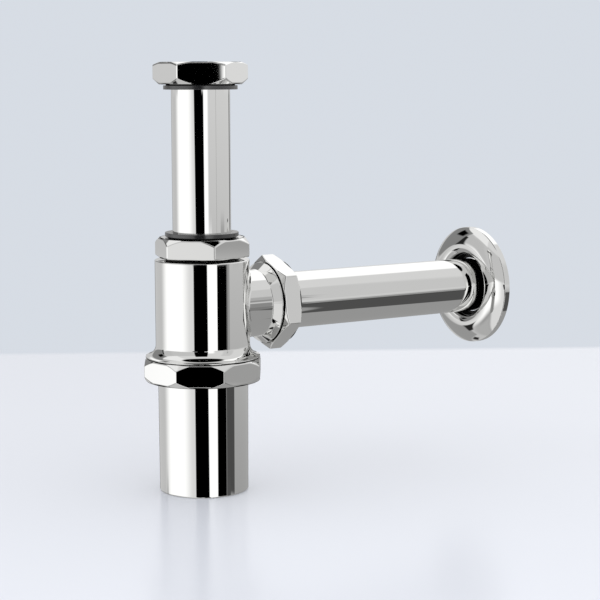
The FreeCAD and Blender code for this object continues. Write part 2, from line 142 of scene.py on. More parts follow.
# %% Screens round the trap
# Angles in degrees: round from the camera's side, positive to the right, and up from the horizon.
# A leaning screen moves sideways by its lean for each degree of height.
Screen = namedtuple("Screen", "start end low high light soft_round soft_up lean", defaults=(2, 2, 0))
SCREENS = [
    # The room, dim near the floor and even on the far left, with a white wall behind.
    Screen(-200, 200, -100, 100, 0.36),
    Screen(-200, 200, -7.2, 100, 0.80, soft_up=23),
    Screen(-200, -100, -100, 100, 0.62, soft_round=20),
    Screen(120, 200, 18, 75, 1.28, soft_round=8, soft_up=10),
    Screen(-200, -165, 18, 75, 1.28, soft_round=8, soft_up=10),
    # The large white screen on the left, which fades towards the black cloth and the floor.
    Screen(-70, 12, -100, 14, 0.84, soft_round=10, soft_up=14),
    Screen(-107, -40, -22, 14, 1.28, soft_round=28, soft_up=12),
    Screen(-104, -70, -100, -30, 0.5, soft_round=16, soft_up=12),
    Screen(-100, -18, 3, 40, 0.64, soft_round=8, soft_up=4),
    Screen(-140, -72, 38, 68, 1.0, soft_round=6, soft_up=4),
    # Grey walls on the far left, with a dark door frame at their edge.
    Screen(-160, -113, 1.5, 40, 0.26, soft_round=3, soft_up=2),
    Screen(-160, -110, -48, -15.5, 0.36, soft_round=3, soft_up=4),
    Screen(-113, -82, 6, 34, 0.6, soft_round=8, soft_up=8),
    Screen(-137, -119, 22, 34, 0.0, soft_round=4, soft_up=3),
    Screen(-115.5, -110.5, 0.8, 25, 0.02),
    Screen(-113, -106.5, -31, -14.5, 0.02, soft_up=3),
    Screen(-140, -123, -57, -49, 0.03, soft_round=4, soft_up=3),
    # Dark far behind, which outlines every round edge.
    Screen(163, 200, -16, 0, 0.25, soft_round=6),
    Screen(-200, -163, -16, 0, 0.25, soft_round=6),
    # A white strip to the right of the black cloth, wider below.
    Screen(0, 27, -100, 16, 1.28, soft_round=8, soft_up=14),
    Screen(0, 40, -100, -5.5, 1.28, soft_round=3),
    # The black cloth round the camera, and the dark ceiling above it.
    Screen(-26.6, -8, -6.3, 0.6, 0.0, soft_up=0.6, lean=0.55),
    Screen(-21.2, -8, -100, -6.2, 0.0, soft_up=0.4),
    Screen(-14, 10, -100, -0.45, 0.0, soft_up=0.4, lean=0.25),
    Screen(-14, 3.5, -1.5, 14, 0.0, soft_round=0.2, soft_up=1),
    Screen(-21, 12, 2, 48, 0.0, soft_up=3),
    Screen(-200, 200, 66.5, 100, 0.0, soft_up=5),
    # Grey on the right, with a black card and a low dark table.
    Screen(50, 78, 1, 42, 0.68, soft_round=8, soft_up=3),
    Screen(62.3, 69, -16.5, -5.7, 0.36, soft_round=0.6, soft_up=1),
    Screen(36, 61, -16, -6.35, 0.0, soft_up=0.15),
    Screen(36, 62.7, -9.6, -6.35, 0.0, soft_round=0.6, soft_up=0.15),
    Screen(61.8, 86, -14.5, -10.55, 0.08, soft_round=1.5, soft_up=0.2),
    Screen(55.2, 66.5, -42, -14, 0.09, soft_round=0.8, soft_up=1, lean=0.45),
    Screen(60.4, 61.8, -20, -5.6, 0.24, soft_round=0.5, soft_up=1),
    Screen(60.4, 61.4, -6, 5, 0.3, soft_round=0.3),
    Screen(60.2, 63.2, 9, 14.5, 0.34, soft_round=0.8),
    Screen(60.2, 64.2, 14.5, 22, 0.48, soft_round=1.2, soft_up=4),
    Screen(141, 152, -5.3, -0.4, 0.1, soft_round=4, soft_up=0.6),
    # Small cards that only the nuts show.
    Screen(80, 100, -6.1, -4.9, 0.4, soft_up=1),
    Screen(-158, -142, -6.1, -4.9, 0.57, soft_up=1),
    Screen(70, 100, -10.4, -9.3, 0.4, soft_up=0.2),
    Screen(105, 140, -0.45, 2, 0.84, soft_round=10, soft_up=0.4),
    Screen(-135, -100, -0.6, 0.6, 0.7, soft_up=0.4),
]
WALL_COLOUR = (0.68, 0.72, 0.78, 1)
WHITE = (1, 1, 1, 1)


def screen_share(tree, turn, rise, screen):
    """How far a direction is inside a screen, from 0 to 1."""
    leaned = math_node(tree, "MULTIPLY_ADD", rise, screen.lean, turn)
    round_half = screen.soft_round / 2
    up_half = screen.soft_up / 2
    share = ramp_up(tree, leaned, screen.start - round_half, screen.start + round_half)
    for edge in (
        ramp_up(tree, leaned, screen.end + round_half, screen.end - round_half),
        ramp_up(tree, rise, screen.low - up_half, screen.low + up_half),
        ramp_up(tree, rise, screen.high + up_half, screen.high - up_half),
    ):
        share = math_node(tree, "MULTIPLY", share, edge)
    return share


def make_studio():
    """The world with its painted screens."""
    world = bpy.data.worlds.new("studio")
    bpy.context.scene.world = world
    world.use_nodes = True
    tree = world.node_tree
    tree.nodes.clear()
    ray = add_node(tree, "ShaderNodeTexCoord").outputs["Generated"]
    to_camera = Vector((CAMERA_PLACE.x, CAMERA_PLACE.y, 0)).normalized()
    to_right = Vector((-to_camera.y, to_camera.x, 0))
    sides = [reach_along(tree, ray, axis) for axis in (to_right, to_camera)]
    height = add_node(tree, "ShaderNodeSeparateXYZ", {0: ray}).outputs["Z"]
    turn = math_node(tree, "DEGREES", math_node(tree, "ARCTAN2", *sides))
    rise = math_node(tree, "DEGREES", math_node(tree, "ARCSINE", height))
    light = 0.0
    for screen in SCREENS:
        share = screen_share(tree, turn, rise, screen)
        change = math_node(tree, "SUBTRACT", screen.light, light)
        light = math_node(tree, "MULTIPLY_ADD", share, change, light)
    paths = add_node(tree, "ShaderNodeLightPath").outputs
    mirror_light = mix_colours(tree, paths["Is Glossy Ray"], WHITE, light)
    seen = mix_colours(tree, paths["Is Camera Ray"], mirror_light, WALL_COLOUR)
    background = add_node(tree, "ShaderNodeBackground", {"Color": seen})
    add_node(tree, "ShaderNodeOutputWorld", {"Surface": background.outputs[0]})


make_studio()
bpy.context.scene.view_settings.view_transform = "Standard"
print("screens:", len(SCREENS))

# %% [markdown]
# ## The floor
# The trap stands on a pale polished slab. One large sheet is enough. Some way behind the trap the sheet
# turns into the wall's own colour, which looks like the line where a table meets a wall. A little gloss
# lets the cup leave a soft reflection. Mirrors don't see the floor, because the screens reach below it.

# %% Floor with a soft step to the wall
FLOOR_HALF_SIDE = 6.0
FLOOR_DROP = 0.0002
WALL_DISTANCE = 0.46
WALL_SOFTNESS = 0.02
FLOOR_COLOUR = (0.85, 0.88, 0.96, 1)
FLOOR_ROUGHNESS = 0.2
FLOOR_SHINE = 0.3


def make_floor():
    """A sheet that looks like a slab near the trap and like the wall far behind it."""
    mesh = bpy.data.meshes.new("floor")
    corners = [
        (x * FLOOR_HALF_SIDE, y * FLOOR_HALF_SIDE, -FLOOR_DROP)
        for x, y in ((-1, -1), (1, -1), (1, 1), (-1, 1))
    ]
    mesh.from_pydata(corners, [], [(0, 1, 2, 3)])
    floor = bpy.data.objects.new("floor", mesh)
    bpy.context.scene.collection.objects.link(floor)
    material = bpy.data.materials.new("pale_slab")
    material.use_nodes = True
    tree = material.node_tree
    slab = tree.nodes["Principled BSDF"]
    slab.inputs["Base Color"].default_value = FLOOR_COLOUR
    slab.inputs["Roughness"].default_value = FLOOR_ROUGHNESS
    slab.inputs["Specular IOR Level"].default_value = FLOOR_SHINE
    wall = add_node(tree, "ShaderNodeEmission", {"Color": WALL_COLOUR})
    place = add_node(tree, "ShaderNodeTexCoord").outputs["Object"]
    away = reach_along(tree, place, Vector((-CAMERA_PLACE.x, -CAMERA_PLACE.y, 0)).normalized())
    behind = ramp_up(tree, away, WALL_DISTANCE, WALL_DISTANCE + WALL_SOFTNESS)
    step = add_node(tree, "ShaderNodeMixShader", {0: behind, 1: slab.outputs[0], 2: wall.outputs[0]})
    feed(tree, tree.nodes["Material Output"].inputs["Surface"], step.outputs[0])
    mesh.materials.append(material)
    floor.visible_glossy = False


make_floor()
print("floor:", 2 * FLOOR_HALF_SIDE, "m wide")

# %% [markdown]
# ## Finishes
# Chrome plate is a metal with very low roughness. A perfect mirror looks like a computer picture, so a
# faint haze varies the roughness, and a very shallow wave stands for what the buffing wheel leaves.
# The plastic rings are dark with a soft sheen and a moulded grain, the rubber is blacker and duller, and
# the slip washers are plain white plastic.

# %% Finish recipes
def start_material(name):
    """A new material, with its tree, its shader and a source of object coordinates."""
    material = bpy.data.materials.new(name)
    material.use_nodes = True
    tree = material.node_tree
    place = add_node(tree, "ShaderNodeTexCoord").outputs["Object"]
    return material, tree, tree.nodes["Principled BSDF"], place


def cloud(tree, place, scale, detail):
    """A noise value between 0 and 1."""
    sources = {"Vector": place, "Scale": scale, "Detail": detail}
    return add_node(tree, "ShaderNodeTexNoise", sources).outputs["Fac"]


def spread(tree, source, low, high):
    """A value between 0 and 1, moved to the range from low to high."""
    sources = {"Value": source, "To Min": low, "To Max": high}
    return add_node(tree, "ShaderNodeMapRange", sources).outputs["Result"]


def relief(tree, shader, source, depth):
    """Bump of a given depth in metres."""
    node = add_node(tree, "ShaderNodeBump", {"Distance": depth, "Height": source})
    feed(tree, shader.inputs["Normal"], node.outputs["Normal"])


def tint(tree, shader, source, dark, light):
    """A colour that drifts between two tones."""
    feed(tree, shader.inputs["Base Color"], mix_colours(tree, source, (*dark, 1), (*light, 1)))


# %% Chrome
CHROME_DARK = (0.79, 0.79, 0.78)
CHROME_LIGHT = (0.81, 0.81, 0.80)
CHROME_SMOOTHEST = 0.006
CHROME_ROUGHEST = 0.02
HAZE_SCALE = 38.0
HAZE_DETAIL = 3.0
BUFFING_SCALE = 60.0
BUFFING_DETAIL = 1.0
BUFFING_DEPTH = 0.000004


def make_chrome(name):
    """Polished plate with a faint haze and the waves of a buffing wheel."""
    material, tree, shader, place = start_material(name)
    shader.inputs["Metallic"].default_value = 1.0
    haze = cloud(tree, place, HAZE_SCALE, HAZE_DETAIL)
    tint(tree, shader, haze, CHROME_DARK, CHROME_LIGHT)
    feed(tree, shader.inputs["Roughness"], spread(tree, haze, CHROME_SMOOTHEST, CHROME_ROUGHEST))
    relief(tree, shader, cloud(tree, place, BUFFING_SCALE, BUFFING_DETAIL), BUFFING_DEPTH)
    return material


# %% Plastics and rubber
TONE_SCALE = 90.0
TONE_DETAIL = 4.0
ROUGHNESS_DRIFT = 0.06
GRAIN_DETAIL = 2.0


def make_moulded(name, dark, light, roughness, shine, grain, depth):
    """A moulded plastic or rubber with uneven tone, sheen and a fine grain."""
    material, tree, shader, place = start_material(name)
    shader.inputs["Specular IOR Level"].default_value = shine
    tone = cloud(tree, place, TONE_SCALE, TONE_DETAIL)
    tint(tree, shader, tone, dark, light)
    sheen = spread(tree, tone, roughness - ROUGHNESS_DRIFT, roughness + ROUGHNESS_DRIFT)
    feed(tree, shader.inputs["Roughness"], sheen)
    relief(tree, shader, cloud(tree, place, grain, GRAIN_DETAIL), depth)
    return material


finishes = {
    "chrome": make_chrome("polished_chrome"),
    "dark_plastic": make_moulded(
        "dark_ring_plastic",
        dark=(0.014, 0.014, 0.015),
        light=(0.022, 0.022, 0.023),
        roughness=0.2,
        shine=1.0,
        grain=2500.0,
        depth=0.000004,
    ),
    "rubber": make_moulded(
        "seal_rubber",
        dark=(0.012, 0.012, 0.012),
        light=(0.026, 0.026, 0.025),
        roughness=0.6,
        shine=0.4,
        grain=1800.0,
        depth=0.00002,
    ),
    "washer_plastic": make_moulded(
        "slip_washer_plastic",
        dark=(0.66, 0.66, 0.62),
        light=(0.76, 0.76, 0.73),
        roughness=0.45,
        shine=0.5,
        grain=2200.0,
        depth=0.00001,
    ),
}
slot_of = {row["node"]: row["material_slot"] for row in frame["record"]["subparts"]}
body_of = {
    node: body for body, members in frame["record"]["behaviour"]["bodies"].items() for node in members
}
for node_name, node in frame["nodes"].items():
    node.data.materials.clear()
    node.data.materials.append(finishes[slot_of[node_name]])
print("finishes:", ", ".join(finishes))

# %% [markdown]
# ## Measuring the solid model
# Every round piece is drawn standing upright on one axis, in millimetres, and the pieces of the outlet
# are then laid down along it. Sizes that the solid model has are read from it, so nothing needs fitting:
# how high a piece starts and ends, and how far it reaches from its axis.

# %% Measures of a piece
OUTLET_AXIS = next(
    mount["pos_m"][2] for mount in frame["record"]["mounts"] if mount["name"] == "outlet_bore"
) / MM
OUTLET_NODES = ("outlet_nut", "outlet_slip_washer", "outlet_seal", "outlet_tube", "wall_rosette")
LAY_DOWN = Matrix(((0, 0, 1, 0), (0, 1, 0, 0), (-1, 0, 0, OUTLET_AXIS * MM), (0, 0, 0, 1)))


def stand_up(points):
    """Points along the outlet, turned to stand on the upright axis."""
    return np.stack([OUTLET_AXIS - points[..., 2], points[..., 1], points[..., 0]], axis=-1)


def lay_down(points):
    """Points on the upright axis, laid along the outlet."""
    return np.stack([points[..., 2], points[..., 1], OUTLET_AXIS - points[..., 0]], axis=-1)


def solid_points(node):
    """Corners of a piece's solid in millimetres, standing upright."""
    points = np.array([vertex.co for vertex in frame["nodes"][node].data.vertices]) / MM
    return stand_up(points) if node in OUTLET_NODES else points


def levels(node):
    """Where a piece starts and ends on its axis."""
    heights = solid_points(node)[:, 2]
    return float(heights.min()), float(heights.max())


def girth(node):
    """Largest radius of a piece."""
    return float(np.hypot(*solid_points(node)[:, :2].T).max())


def add_piece(mesh, name, node, finish):
    """A piece that moves with one node of the solid model."""
    mesh.name = name
    mesh.materials.clear()
    mesh.materials.append(finish)
    piece = bpy.data.objects.new(name, mesh)
    bpy.context.scene.collection.objects.link(piece)
    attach(piece, body_of[node])
    print(f"{name}: {len(mesh.polygons)} faces")
    return piece


def stand_for(mesh, name, node):
    """A piece that is seen in place of one node of the solid model."""
    piece = add_piece(mesh, name, node, finishes[slot_of[node]])
    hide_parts(node)
    return piece


print("outlet axis at", round(OUTLET_AXIS, 2), "mm, cup flange radius", round(girth("cup"), 2), "mm")

# %% [markdown]
# ## Outlines with rounded corners
# A turned piece is one outline swept round an axis. No real edge is a knife edge, and on chrome each
# rounded edge is a thin bright or dark line, so every corner of an outline can carry a rounding. The
# outline is walked corner by corner with its outside on the right, and each rounded corner becomes an
# arc that touches both of its sides.

# %% Walk round an outline
ARC_FINENESS = 12
LEAST_ARC_STEPS = 4


def to_the_right(direction):
    """A direction turned a quarter to the right."""
    return np.array([direction[1], -direction[0]])


def swung(direction, angle):
    """A direction turned to the left by an angle."""
    cosine, sine = math.cos(angle), math.sin(angle)
    x, y = direction
    return np.array([cosine * x - sine * y, sine * x + cosine * y])


def walk_outline(corners, closed=False):
    """Places and outward directions along corners of (radius, level, rounding)."""
    places = np.array([corner[:2] for corner in corners], float)
    steps = np.roll(places, -1, axis=0) - places
    steps /= np.linalg.norm(steps, axis=1)[:, None]
    rows = []
    for number, corner in enumerate(corners):
        rounding = corner[2]
        into, onward = steps[number - 1], steps[number]
        if not closed and number == 0:
            into = onward
        if not closed and number == len(corners) - 1:
            onward = into
        turn = math.atan2(into[0] * onward[1] - into[1] * onward[0], float(into @ onward))
        side = math.copysign(1, turn)
        first = to_the_right(into)
        centre = places[number] - into * rounding * math.tan(abs(turn) / 2) - side * first * rounding
        arc_steps = max(1, round(ARC_FINENESS * abs(turn) * math.sqrt(rounding)))
        if rounding:
            arc_steps = max(LEAST_ARC_STEPS, arc_steps)
        for share in np.linspace(0, 1, arc_steps + 1):
            normal = swung(first, turn * share)
            rows.append((*(centre + side * rounding * normal), *normal))
    return np.array(rows)


square_corner = walk_outline([(1, 0, 0), (2, 0, 1), (2, 1, 0)])
print("an outline with one rounded square corner has", len(square_corner), "rows")

# %% [markdown]
# ## A lathe made of nodes
# The cup, both tubes, the wall rosette and the plastic rings are turned pieces, so one Geometry Nodes tree
# makes them all. A Spin would need an edit mode and a clean-up. Here the outline is a loop of edges, which
# Curve to Mesh sweeps round a small hub circle. Its first coordinate points away from the hub and its
# second one down. Two extra points near the ends of each long straight run keep the smooth shading of a
# wall from bending towards its rounded edges.

# %% Start and end of a tree
def start_tree(name, inputs, result):
    """A tree with named inputs and one result, and the sockets that carry the inputs."""
    tree = bpy.data.node_groups.new(name, "GeometryNodeTree")
    for label, kind in inputs.items():
        tree.interface.new_socket(label, in_out="INPUT", socket_type=kind)
    tree.interface.new_socket(result, in_out="OUTPUT", socket_type="NodeSocketGeometry")
    return tree, add_node(tree, "NodeGroupInput").outputs


def end_tree(tree, geometry, finish, result):
    """Make what a tree built real, coat it and hand it out."""
    realize = add_node(tree, "GeometryNodeRealizeInstances", {"Geometry": geometry})
    coated = {"Geometry": realize.outputs["Geometry"], "Material": finish}
    coat = add_node(tree, "GeometryNodeSetMaterial", coated)
    add_node(tree, "NodeGroupOutput", {result: coat.outputs["Geometry"]})


def sweep_outline(tree, path, outline, caps=False):
    """An outline swept along a path that lies level."""
    level_path = add_node(tree, "GeometryNodeSetCurveNormal", {"Curve": path}, mode="Z_UP")
    swept = {"Curve": level_path.outputs["Curve"], "Profile Curve": outline, "Fill Caps": caps}
    return add_node(tree, "GeometryNodeCurveToMesh", swept).outputs["Mesh"]


# %% The lathe tree
HUB_RADIUS = 1.0
HOLD = 0.04
LONG_RUN = 0.8
WELD_DISTANCE = 1e-6
STEPS_ROUND = 160


def make_lathe_tree():
    """A tree that turns an outline round the upright axis."""
    inputs = {
        "Outline": "NodeSocketGeometry",
        "Steps Round": "NodeSocketInt",
        "Hub Radius": "NodeSocketFloat",
        "Finish": "NodeSocketMaterial",
    }
    tree, given = start_tree("lathe", inputs, "Turned Piece")
    outline = add_node(tree, "GeometryNodeMeshToCurve", {"Mesh": given["Outline"]})
    hub_sizes = {"Resolution": given["Steps Round"], "Radius": given["Hub Radius"]}
    hub = add_node(tree, "GeometryNodeCurvePrimitiveCircle", hub_sizes, mode="RADIUS")
    swept = sweep_outline(tree, hub.outputs["Curve"], outline.outputs["Curve"])
    weld = add_node(tree, "GeometryNodeMergeByDistance", {"Geometry": swept, "Distance": WELD_DISTANCE})
    smooth = add_node(tree, "GeometryNodeSetShadeSmooth", {"Geometry": weld.outputs["Geometry"]})
    end_tree(tree, smooth.outputs["Geometry"], given["Finish"], "Turned Piece")
    return tree


def run_tree(tree, start_mesh, name, settings):
    """The plain mesh that a node tree makes from a start mesh and named settings."""
    carrier = bpy.data.objects.new(name, start_mesh)
    bpy.context.scene.collection.objects.link(carrier)
    modifier = carrier.modifiers.new(tree.name, "NODES")
    modifier.node_group = tree
    for socket in tree.interface.items_tree:
        if socket.in_out == "INPUT" and socket.name in settings:
            modifier[socket.identifier] = settings[socket.name]
    bpy.context.view_layer.update()
    shaped = carrier.evaluated_get(bpy.context.evaluated_depsgraph_get())
    mesh = bpy.data.meshes.new_from_object(shaped)
    carrier.modifiers.remove(modifier)
    bpy.data.objects.remove(carrier)
    return mesh


def face_outwards(mesh):
    """Turn every face of a closed mesh to the outside."""
    shell = bmesh.new()
    shell.from_mesh(mesh)
    bmesh.ops.recalc_face_normals(shell, faces=shell.faces)
    shell.to_mesh(mesh)
    shell.free()


def held_rows(rows, closed):
    """An outline's places, with two more close to the ends of each long straight run."""
    following = np.roll(rows, -1, axis=0)
    places = []
    for row, after in zip(rows[:, :2], following[:, :2]):
        places.append(row)
        run = after - row
        length = np.linalg.norm(run)
        if length > LONG_RUN:
            places.append(row + run * HOLD / length)
            places.append(after - run * HOLD / length)
    return places if closed else places[:-2]


lathe = make_lathe_tree()
print("lathe inputs:", [item.name for item in lathe.interface.items_tree if item.in_out == "INPUT"])


# %% Turn one piece
def turn_piece(node, corners, closed=True):
    """A turned piece that stands for one node of the solid model."""
    places = held_rows(walk_outline(corners, closed), closed)
    points = [((radius - HUB_RADIUS) * MM, -level * MM, 0) for radius, level in places]
    edges = [(number, number + 1) for number in range(len(points) - 1)]
    if closed:
        edges.append((len(points) - 1, 0))
    outline = bpy.data.meshes.new(f"{node}_outline")
    outline.from_pydata(points, edges, [])
    settings = {
        "Steps Round": STEPS_ROUND,
        "Hub Radius": HUB_RADIUS * MM,
        "Finish": finishes[slot_of[node]],
    }
    mesh = run_tree(lathe, outline, f"{node}_lathe", settings)
    if node in OUTLET_NODES:
        mesh.transform(LAY_DOWN)
    face_outwards(mesh)
    return stand_for(mesh, f"turned_{node}", node)


# %% [markdown]
# ## Cup and tubes
# The cup is a brass bowl with a floor, a slightly flared wall and a flange that its nut lifts.
# The tubes are plain drawn tube with broken edges. All are short outlines for the lathe.

# %% Cup
CUP_BASE_RADIUS = 24.6
CUP_RIM_RADIUS = 24.9
CUP_WALL = 2.0
CUP_FLOOR = 3.0
CUP_FLOOR_FILLET = 4.0
CUP_BASE_EDGE = 0.6
CUP_FLANGE_THICKNESS = 2.0
SMALL_EDGE = 0.2

cup_base, cup_top = levels("cup")
cup_flange = girth("cup")
turn_piece(
    "cup",
    [
        (0, cup_base, 0),
        (CUP_BASE_RADIUS, cup_base, CUP_BASE_EDGE),
        (CUP_RIM_RADIUS, cup_top - CUP_FLANGE_THICKNESS, SMALL_EDGE),
        (cup_flange, cup_top - CUP_FLANGE_THICKNESS, SMALL_EDGE),
        (cup_flange, cup_top, SMALL_EDGE),
        (CUP_RIM_RADIUS - CUP_WALL, cup_top, SMALL_EDGE),
        (CUP_BASE_RADIUS - CUP_WALL, cup_base + CUP_FLOOR, CUP_FLOOR_FILLET),
        (0, cup_base + CUP_FLOOR, 0),
    ],
    closed=False,
)

# %% Tubes
TUBE_RADIUS = 16.0
TUBE_WALL = 0.8

for tube in ("inlet_tube", "outlet_tube"):
    tube_start, tube_end = levels(tube)
    turn_piece(
        tube,
        [
            (TUBE_RADIUS, tube_start, SMALL_EDGE),
            (TUBE_RADIUS, tube_end, SMALL_EDGE),
            (TUBE_RADIUS - TUBE_WALL, tube_end, SMALL_EDGE),
            (TUBE_RADIUS - TUBE_WALL, tube_start, SMALL_EDGE),
        ],
    )

# %% [markdown]
# ## Wall rosette
# The rosette is pressed from thin sheet: a straight rim, a dome up to a crest, a tight curl down into the
# throat and a small lip that rides on the tube. The dome and the curl are just large roundings of the
# corners where their tangents would meet.

# %% Rosette
ROSETTE_BAND = 3.6
ROSETTE_BAND_EDGE = 0.7
ROSETTE_CREST_RADIUS = 23.0
ROSETTE_THROAT_RADIUS = 18.4
ROSETTE_LIP_RADIUS = 16.3
ROSETTE_LIP_DEPTH = 1.9
ROSETTE_SHEET = 0.7

rosette_crest, wall_level = levels("wall_rosette")
rosette_rim = girth("wall_rosette")
dome_rise = wall_level - ROSETTE_BAND - rosette_crest
dome_run = rosette_rim - ROSETTE_CREST_RADIUS
dome_turn = 2 * math.atan2(dome_rise, dome_run)
dome_corner = ROSETTE_CREST_RADIUS + (dome_run**2 + dome_rise**2) / (2 * dome_run)
dome_radius = (dome_corner - ROSETTE_CREST_RADIUS - ROSETTE_BAND_EDGE / 2) / math.tan(dome_turn / 2)
curl_radius = ROSETTE_CREST_RADIUS - ROSETTE_THROAT_RADIUS
lip_front = wall_level - ROSETTE_LIP_DEPTH
rosette = turn_piece(
    "wall_rosette",
    [
        (rosette_rim, wall_level, SMALL_EDGE),
        (rosette_rim - ROSETTE_SHEET, wall_level, SMALL_EDGE),
        (rosette_rim - ROSETTE_SHEET, wall_level - ROSETTE_BAND + ROSETTE_SHEET / 2, SMALL_EDGE),
        (dome_corner - ROSETTE_SHEET / 2, rosette_crest + ROSETTE_SHEET, dome_radius - 2 * ROSETTE_SHEET),
        (ROSETTE_THROAT_RADIUS + ROSETTE_SHEET, rosette_crest + ROSETTE_SHEET, curl_radius - ROSETTE_SHEET),
        (ROSETTE_THROAT_RADIUS + ROSETTE_SHEET, lip_front + ROSETTE_SHEET, SMALL_EDGE),
        (ROSETTE_LIP_RADIUS, lip_front + ROSETTE_SHEET, SMALL_EDGE),
        (ROSETTE_LIP_RADIUS, lip_front, SMALL_EDGE),
        (ROSETTE_THROAT_RADIUS, lip_front, SMALL_EDGE),
        (ROSETTE_THROAT_RADIUS, rosette_crest, curl_radius),
        (dome_corner, rosette_crest, dome_radius),
        (rosette_rim, wall_level - ROSETTE_BAND, ROSETTE_BAND_EDGE),
    ],
)

# %% [markdown]
# The throat is black with shade, a recess that sees only dark. It may be dull plating that a buffing
# wheel can't reach, or a dark reflection. This scene paints that shade into the colour, because
# painted shade stays dark from every side. The rosette gets a chrome of its own, whose colour turns
# black close to the outlet's axis.

# %% Painted shade in the throat
DARK_RADIUS = 19.0
BRIGHT_RADIUS = 19.7
THROAT_PAINTED_SHADE = (0.01, 0.01, 0.01, 1)


def paint_throat_shade(material):
    """Paint shade on a finish: black near the outlet's axis."""
    tree = material.node_tree
    base = tree.nodes["Principled BSDF"].inputs["Base Color"]
    place = add_node(tree, "ShaderNodeTexCoord").outputs["Object"]
    from_axis = {0: place, 1: (0, 1, 1), 2: (0, 0, -OUTLET_AXIS * MM)}
    across = add_node(tree, "ShaderNodeVectorMath", from_axis, operation="MULTIPLY_ADD").outputs["Vector"]
    distance = add_node(tree, "ShaderNodeVectorMath", {0: across}, operation="LENGTH").outputs["Value"]
    # Painted shade: black inside DARK_RADIUS, back to the plating's colour by BRIGHT_RADIUS.
    bright = ramp_up(tree, distance, DARK_RADIUS * MM, BRIGHT_RADIUS * MM)
    plating = base.links[0].from_socket
    feed(tree, base, mix_colours(tree, bright, THROAT_PAINTED_SHADE, plating))


rosette_finish = make_chrome("rosette_chrome_painted_shade")
paint_throat_shade(rosette_finish)
rosette.data.materials[0] = rosette_finish
print("throat dark inside radius", DARK_RADIUS, "mm")

# %% [markdown]
# ## Gland rings
# A dark plastic ring closes the gap between each upright nut and its tube. Its sleeve goes into the nut,
# and its flange shows outside. The upper ring is the lower one turned over.

# %% Rings
RING_BORE = 16.05
RING_SLEEVE = 17.85
RING_FOOT = 18.85
RING_STEP = 0.6
RING_THICKNESS = 2.2
RING_EDGE = 0.25

for ring, nut, outward in (("body_gland_ring", "body_nut", 1), ("inlet_gland_ring", "inlet_nut", -1)):
    sleeve_end = levels(ring)[0] if outward > 0 else levels(ring)[1]
    nut_face = levels(nut)[1] if outward > 0 else levels(nut)[0]
    flange_back = nut_face + outward * RING_STEP
    flange_front = flange_back + outward * RING_THICKNESS
    ring_rim = girth(ring)
    turn_piece(
        ring,
        [
            (RING_BORE, sleeve_end, 0),
            (RING_SLEEVE, sleeve_end, 0),
            (RING_SLEEVE, nut_face, 0),
            (RING_FOOT, nut_face, 0),
            (RING_FOOT, flange_back, 0),
            (ring_rim, flange_back, RING_EDGE),
            (ring_rim, flange_front, RING_EDGE),
            (RING_BORE, flange_front, SMALL_EDGE),
        ],
    )

# %% [markdown]
# ## Patches with true normals
# The nuts and the body are mirrors with large flat or straight faces beside small rounded edges. Blender
# averages the normals of neighbouring faces, which bends the mirror image near every edge. The shapes here
# follow rules, so the true direction of the surface is known at each point. Each face of a shape is a grid
# of points with those directions. The grids are welded into one closed mesh, and the directions go in as
# custom normals.

# %% Weld patches into a mesh
WELD_GRID = 1e-4


def weld_patches(patches):
    """One closed mesh from grids of points in millimetres and their true normals."""
    points, normals, quads = [], [], []
    start = 0
    for patch_points, patch_normals in patches:
        rows, columns = patch_points.shape[:2]
        index = start + np.arange(rows * columns).reshape(rows, columns)
        corners = (index[:-1, :-1], index[:-1, 1:], index[1:, 1:], index[1:, :-1])
        quads.append(np.stack(corners, axis=-1).reshape(-1, 4))
        points.append(patch_points.reshape(-1, 3))
        normals.append(patch_normals.reshape(-1, 3))
        start += rows * columns
    points, normals, quads = (np.concatenate(group) for group in (points, normals, quads))
    cells = np.round(points / WELD_GRID)
    first, home = np.unique(cells, axis=0, return_index=True, return_inverse=True)[1:]
    spots = points[first]
    home = home.reshape(-1)
    faces, directions = [], []
    for quad in quads:
        ring = [corner for place, corner in enumerate(quad) if home[corner] != home[quad[place - 1]]]
        if len({home[corner] for corner in ring}) < 3:
            continue
        one, two, three = (spots[home[corner]] for corner in (ring[0], ring[1], ring[-1]))
        if np.cross(two - one, three - one) @ normals[ring].sum(axis=0) < 0:
            ring.reverse()
        faces.append([int(home[corner]) for corner in ring])
        directions.extend(normals[ring])
    mesh = bpy.data.meshes.new("welded")
    mesh.from_pydata(spots * MM, [], faces)
    mesh.shade_smooth()
    mesh.normals_split_custom_set([tuple(direction) for direction in directions])
    return mesh


def at_angles(radius, angles, level):
    """Points round the upright axis."""
    radius, angles, level = np.broadcast_arrays(radius, angles, level)
    return np.stack([radius * np.cos(angles), radius * np.sin(angles), level], axis=-1)


def spun(rows, angles):
    """A patch that turns an outline's places and directions through the given angles."""
    radius, level, out, up = rows.T[:, :, None]
    return at_angles(radius, angles, level), at_angles(out, angles, up)


def laid_patch(points, normals):
    """A patch on the upright axis, laid along the outlet."""
    return lay_down(points), lay_down(normals) - lay_down(np.zeros(3))


def between(first, last, share):
    """A direction part of the way from one to another."""
    mixed = first * (1 - share) + last * share
    return mixed / np.linalg.norm(mixed, axis=-1, keepdims=True)


# %% [markdown]
# ## Nuts
# A nut is cut from a flat-sided bar, its ends are bevelled on a lathe, and polishing takes the edge off
# everything. A Bevel modifier struggles where the curved edge of a bevel runs out on a flat. Instead the
# nut is shrunk by the rounding and then grown back by a ball of that size: every point of the small nut
# moves out along all directions that its corner can face. Upright lines follow each flat and fan out at
# its corners. Along each line the direction swings from the flat over the bevel to the face.

# %% Sides and ends of a nut
NUT_ROUNDING = 1.1
FLAT_STEPS = 20
FAN_STEPS = 6
SPLIT = 1e-7


def bevel_start(apothem, bevel):
    """Angle from the middle of a flat at which the bevel begins to cut the flat's edge."""
    return math.acos((apothem - NUT_ROUNDING) / (apothem - NUT_ROUNDING * math.tan(bevel / 2)))


